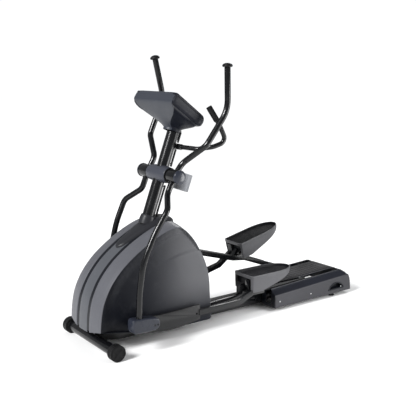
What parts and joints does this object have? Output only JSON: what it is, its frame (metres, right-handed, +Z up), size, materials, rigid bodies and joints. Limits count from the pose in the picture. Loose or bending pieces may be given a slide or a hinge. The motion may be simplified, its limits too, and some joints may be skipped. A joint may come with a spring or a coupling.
{
  "type": "elliptical trainer",
  "caption": "Front-drive elliptical trainer with swinging handlebars, pedals on linked roller arms, a shrouded crank and flywheel, a console on a leaning mast and a rear track housing.",
  "frame": {"origin": "floor level, mid-length and mid-width of the whole machine in its rest pose", "axes": "+X from the front cross bar toward the rear track housing, +Y toward the user's right, +Z up"},
  "size_m": [2.13, 0.644, 1.7581],
  "materials": {
    "frame_black": "gloss black powder coat",
    "bright_steel": "satin machined steel",
    "shroud_grey": "moulded blue-grey, fine texture",
    "strip_grey": "moulded lighter blue-grey",
    "housing_grey": "moulded metallic grey",
    "deck_grey": "dark grey, pebbled",
    "dark_plastic": "dark navy-grey",
    "black_rubber": "matt black",
    "roller_nylon": "turned nylon",
    "flywheel_iron": "turned rim",
    "magnet_holder": "cast",
    "display_glass": "smoked window"
  },
  "bodies": {
    "base": {"main_spine": "frame_black", "front_crossbar": "frame_black", "mast": "frame_black", "mast_cable_tube": "frame_black", "pivot_shaft": "bright_steel", "hub_cover": "shroud_grey", "mast_boot": "strip_grey", "shroud_left": "shroud_grey", "shroud_right": "shroud_grey", "shroud_centre_strip": "strip_grey", "console_shell": "strip_grey", "console_bezel": "dark_plastic", "console_display": "display_glass", "console_keypad": "dark_plastic", "fixed_handle": "frame_black", "left_fixed_grip": "black_rubber", "right_fixed_grip": "black_rubber", "bottle_holder": "housing_grey", "crank_support": "frame_black", "drive_belt": "black_rubber", "flywheel_support": "frame_black", "brake_magnet": "magnet_holder", "track_housing": "housing_grey", "deck_panel": "deck_grey", "roller_tracks": "bright_steel", "rear_stand": "frame_black", "cover_screws": "bright_steel"},
    "left_wheel": {"left_transport_wheel": "black_rubber"},
    "right_wheel": {"right_transport_wheel": "black_rubber"},
    "left_swing": {"left_handlebar": "frame_black", "left_hub_cap": "dark_plastic", "left_grip_cap": "black_rubber", "left_bracket_cover": "dark_plastic"},
    "right_swing": {"right_handlebar": "frame_black", "right_hub_cap": "dark_plastic", "right_grip_cap": "black_rubber", "right_bracket_cover": "dark_plastic"},
    "left_pin": {"left_link_pin": "bright_steel"},
    "right_pin": {"right_link_pin": "bright_steel"},
    "left_stride": {"left_link": "frame_black", "left_pedal": "deck_grey", "left_pedal_mat": "black_rubber"},
    "right_stride": {"right_link": "frame_black", "right_pedal": "deck_grey", "right_pedal_mat": "black_rubber"},
    "left_carriage": {"left_roller_axle": "bright_steel"},
    "right_carriage": {"right_roller_axle": "bright_steel"},
    "left_track_roller": {"left_roller": "roller_nylon"},
    "right_track_roller": {"right_roller": "roller_nylon"},
    "left_arm": {"left_roller_arm": "frame_black"},
    "right_arm": {"right_roller_arm": "frame_black"},
    "crank": {"crank_set": "bright_steel", "drive_pulley": "dark_plastic"},
    "inertia_wheel": {"flywheel": "flywheel_iron"},
    "left_foot": {"left_levelling_foot": "black_rubber"},
    "right_foot": {"right_levelling_foot": "black_rubber"}
  },
  "joints": [
    {"name": "left_handlebar_swing", "type": "hinge", "parent": "base", "child": "left_swing", "pos_m": [-0.489, -0.16, 1.024], "axis": [0, 1, 0], "range_deg": [-16.6, 8.7]},
    {"name": "right_handlebar_swing", "type": "hinge", "parent": "base", "child": "right_swing", "pos_m": [-0.489, 0.16, 1.024], "axis": [0, 1, 0], "range_deg": [-8.7, 16.6]},
    {"name": "left_link_pin_turn", "type": "hinge", "parent": "left_swing", "child": "left_pin", "pos_m": [-0.83, -0.29, 0.175], "axis": [0, 1, 0], "range_deg": [-6.2, 11.8]},
    {"name": "right_link_pin_turn", "type": "hinge", "parent": "right_swing", "child": "right_pin", "pos_m": [-0.6429, 0.29, 0.1221], "axis": [0, 1, 0], "range_deg": [-11.8, 6.2]},
    {"name": "left_link_lift", "type": "hinge", "parent": "left_pin", "child": "left_stride", "pos_m": [-0.83, -0.29, 0.175], "axis": [0, 1, 0], "range_deg": [-10.5, 0]},
    {"name": "right_link_lift", "type": "hinge", "parent": "right_pin", "child": "right_stride", "pos_m": [-0.6429, 0.29, 0.1221], "axis": [0, 1, 0], "range_deg": [0, 10.5]},
    {"name": "left_carriage_roll", "type": "slide", "parent": "base", "child": "left_carriage", "axis": [1, 0, 0], "range_m": [-0.14, 0.267]},
    {"name": "right_carriage_roll", "type": "slide", "parent": "base", "child": "right_carriage", "axis": [1, 0, 0], "range_m": [-0.267, 0.14]},
    {"name": "left_arm_lift", "type": "hinge", "parent": "left_carriage", "child": "left_arm", "pos_m": [0.61, -0.14, 0.16], "axis": [0, 1, 0], "range_deg": [0, 19]},
    {"name": "right_arm_lift", "type": "hinge", "parent": "right_carriage", "child": "right_arm", "pos_m": [0.73, 0.14, 0.16], "axis": [0, 1, 0], "range_deg": [-19, 0]},
    {"name": "left_roller_spin", "type": "hinge", "parent": "left_carriage", "child": "left_track_roller", "pos_m": [0.61, -0.14, 0.16], "axis": [0, 1, 0], "continuous": true},
    {"name": "right_roller_spin", "type": "hinge", "parent": "right_carriage", "child": "right_track_roller", "pos_m": [0.73, 0.14, 0.16], "axis": [0, 1, 0], "continuous": true},
    {"name": "crank_spin", "type": "hinge", "parent": "base", "child": "crank", "pos_m": [-0.551, 0, 0.33], "axis": [0, 1, 0], "continuous": true},
    {"name": "flywheel_spin", "type": "hinge", "parent": "base", "child": "inertia_wheel", "pos_m": [-0.92, 0.06, 0.3], "axis": [0, 1, 0], "continuous": true},
    {"name": "left_wheel_spin", "type": "hinge", "parent": "base", "child": "left_wheel", "pos_m": [-1, -0.295, 0.05], "axis": [0, 1, 0], "continuous": true},
    {"name": "right_wheel_spin", "type": "hinge", "parent": "base", "child": "right_wheel", "pos_m": [-1, 0.295, 0.05], "axis": [0, 1, 0], "continuous": true},
    {"name": "left_foot_turn", "type": "hinge", "parent": "base", "child": "left_foot", "pos_m": [0.905, -0.172, 0.02], "axis": [0, 0, 1], "continuous": true},
    {"name": "right_foot_turn", "type": "hinge", "parent": "base", "child": "right_foot", "pos_m": [0.905, 0.172, 0.02], "axis": [0, 0, 1], "continuous": true}
  ],
  "couplings": [
    {"joint": "right_handlebar_swing", "follows": "left_handlebar_swing", "ratio": -1},
    {"joint": "left_link_pin_turn", "follows": "left_handlebar_swing", "ratio": -0.71},
    {"joint": "right_link_pin_turn", "follows": "left_handlebar_swing", "ratio": 0.71},
    {"joint": "left_link_lift", "follows": "left_arm_lift", "ratio": -0.55},
    {"joint": "right_link_lift", "follows": "left_arm_lift", "ratio": 0.55},
    {"joint": "left_carriage_roll", "follows": "left_handlebar_swing", "m_per_rad": -0.92},
    {"joint": "right_carriage_roll", "follows": "left_handlebar_swing", "m_per_rad": 0.92},
    {"joint": "right_arm_lift", "follows": "left_arm_lift", "ratio": -1},
    {"joint": "flywheel_spin", "follows": "crank_spin", "ratio": 5.8333}
  ]
}
